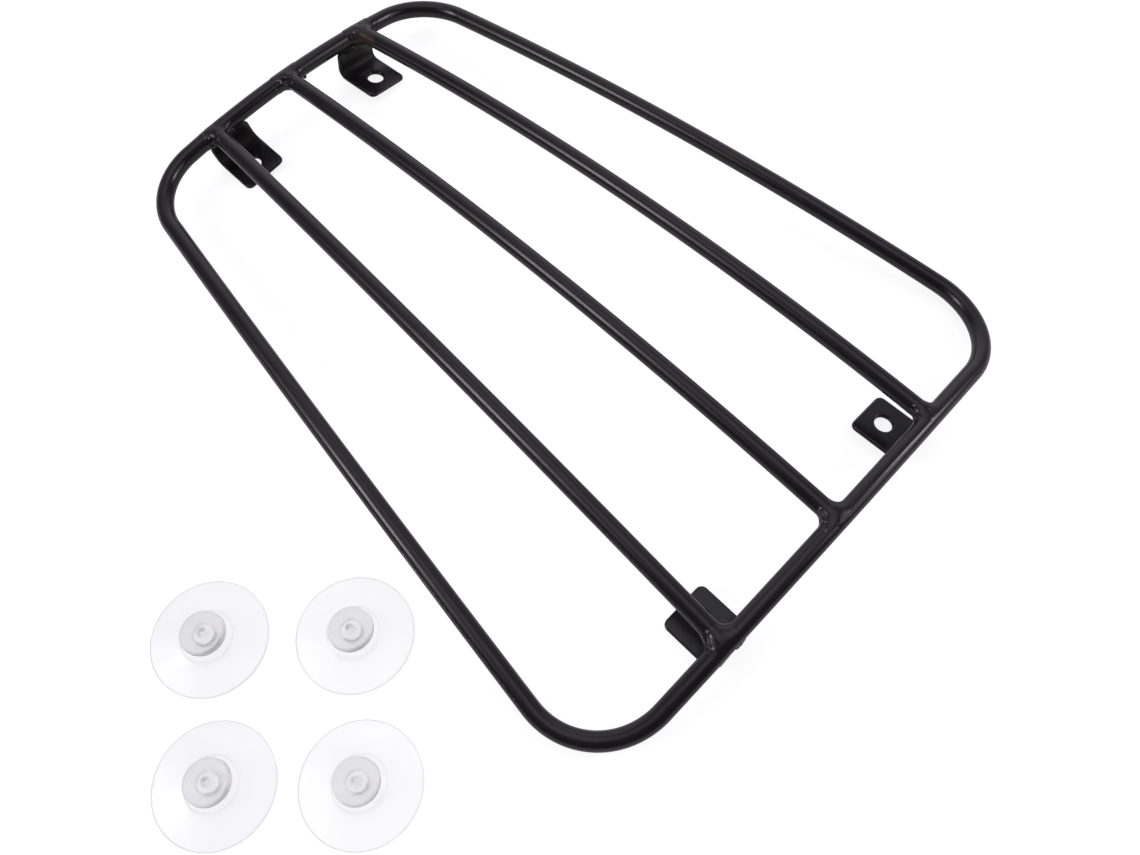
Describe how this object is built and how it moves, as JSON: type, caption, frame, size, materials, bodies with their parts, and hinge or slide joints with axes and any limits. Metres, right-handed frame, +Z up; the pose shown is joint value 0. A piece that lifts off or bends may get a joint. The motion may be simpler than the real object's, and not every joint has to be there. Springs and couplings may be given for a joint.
{
  "type": "luggage rack",
  "caption": "Rigid welded round-bar luggage rack, crowned both ways, on bent strip feet with holes for the loose clear suction cups lying beside it.",
  "frame": {"origin": "middle of the whole set's footprint, rack and cups together, on the floor that they stand on", "axes": "+X across the rack towards its right side, away from the cups; +Y along the rack towards its narrow end; +Z up"},
  "size_m": [0.3898, 0.3475, 0.0363],
  "materials": {
    "black_coat": "satin black powder coat over mild steel bar and strip",
    "coated_weld": "the same black coat over the weld beads, glossier and lumpy",
    "clear_vinyl": "clear soft vinyl with a faint cool tint, smooth and glossy"
  },
  "bodies": {
    "rack": {"outer_loop": "black_coat", "rail_left": "black_coat", "rail_centre": "black_coat", "rail_right": "black_coat", "bracket_wide_left": "black_coat", "bracket_wide_right": "black_coat", "bracket_narrow_left": "black_coat", "bracket_narrow_right": "black_coat", "weld_rail_left_narrow": "coated_weld", "weld_rail_left_wide": "coated_weld", "weld_rail_centre_narrow": "coated_weld", "weld_rail_centre_wide": "coated_weld", "weld_rail_right_narrow": "coated_weld", "weld_rail_right_wide": "coated_weld", "weld_bracket_wide_left_inner": "coated_weld", "weld_bracket_wide_left_outer": "coated_weld", "weld_bracket_wide_right_inner": "coated_weld", "weld_bracket_wide_right_outer": "coated_weld", "weld_bracket_narrow_left_inner": "coated_weld", "weld_bracket_narrow_left_outer": "coated_weld", "weld_bracket_narrow_right_inner": "coated_weld", "weld_bracket_narrow_right_outer": "coated_weld"},
    "cup_1": {"suction_cup_1": "clear_vinyl"},
    "cup_2": {"suction_cup_2": "clear_vinyl"},
    "cup_3": {"suction_cup_3": "clear_vinyl"},
    "cup_4": {"suction_cup_4": "clear_vinyl"}
  },
  "joints": [
    {"name": "cup_1_lift", "type": "slide", "parent": "rack", "child": "cup_1", "axis": [0, 0, 1], "range_m": [0, 0.06]},
    {"name": "cup_2_lift", "type": "slide", "parent": "rack", "child": "cup_2", "axis": [0, 0, 1], "range_m": [0, 0.06]},
    {"name": "cup_3_lift", "type": "slide", "parent": "rack", "child": "cup_3", "axis": [0, 0, 1], "range_m": [0, 0.06]},
    {"name": "cup_4_lift", "type": "slide", "parent": "rack", "child": "cup_4", "axis": [0, 0, 1], "range_m": [0, 0.06]}
  ]
}
